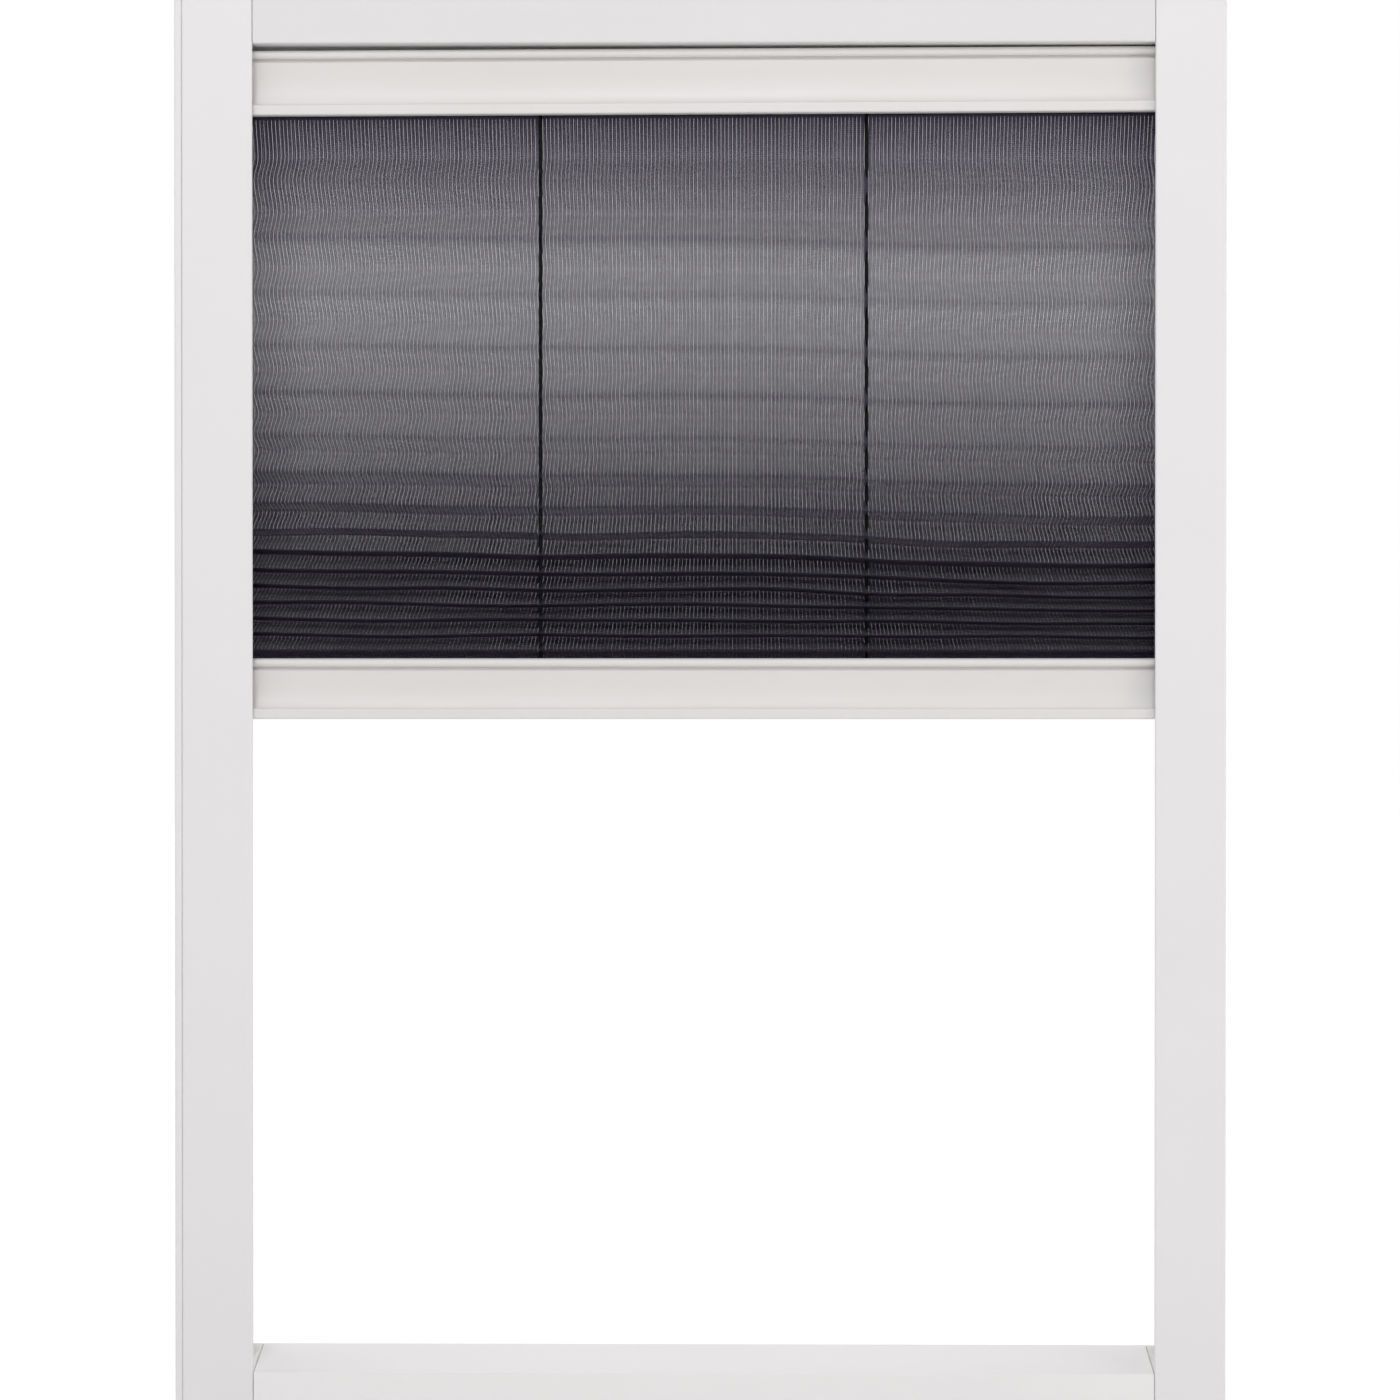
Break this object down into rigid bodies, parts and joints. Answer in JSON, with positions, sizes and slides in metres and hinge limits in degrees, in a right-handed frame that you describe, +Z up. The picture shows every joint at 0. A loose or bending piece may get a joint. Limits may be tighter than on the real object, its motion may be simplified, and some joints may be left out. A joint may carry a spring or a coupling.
{
  "type": "pleated insect screen",
  "caption": "White framed insect screen for a window, with a pleated dark mesh held between sliding bars that run in the side jambs on guide cords.",
  "frame": {"origin": "middle of the underside of the frame", "axes": "+Z up along the jambs, +Y towards the window behind the screen, +X across to the right as seen from the front"},
  "size_m": [0.4, 0.03, 0.56],
  "materials": {
    "white_coated_aluminium": "satin powder coat",
    "white_plastic": "moulded",
    "mesh": "woven coated thread",
    "cord": "braided",
    "pile": "pile",
    "screw_steel": "zinc plated"
  },
  "bodies": {
    "frame": {"left_jamb": "white_coated_aluminium", "right_jamb": "white_coated_aluminium", "left_edge_strip": "white_coated_aluminium", "top_rail": "white_coated_aluminium", "bottom_rail": "white_coated_aluminium", "top_left_corner": "white_plastic", "top_right_corner": "white_plastic", "bottom_left_corner": "white_plastic", "bottom_right_corner": "white_plastic", "corner_screws": "screw_steel", "left_pile_seal": "pile", "right_pile_seal": "pile", "top_cord_anchors": "white_plastic", "bottom_cord_anchors": "white_plastic", "left_cord": "cord", "right_cord": "cord", "pleated_mesh": "mesh"},
    "upper_bar": {"upper_bar": "white_coated_aluminium", "upper_mesh_strip": "white_plastic", "upper_left_glide": "white_plastic", "upper_right_glide": "white_plastic", "upper_eyelets": "white_plastic"},
    "lower_bar": {"lower_bar": "white_coated_aluminium", "lower_mesh_strip": "white_plastic", "lower_left_glide": "white_plastic", "lower_right_glide": "white_plastic", "lower_eyelets": "white_plastic"}
  },
  "joints": [
    {"name": "upper_bar_slide", "type": "slide", "parent": "frame", "child": "upper_bar", "axis": [0, 0, 1], "range_m": [-0.06, 0], "deforming": ["pleated_mesh", "left_cord", "right_cord"]},
    {"name": "lower_bar_slide", "type": "slide", "parent": "frame", "child": "lower_bar", "axis": [0, 0, 1], "range_m": [-0.243, 0.09], "deforming": ["pleated_mesh", "left_cord", "right_cord"]}
  ]
}
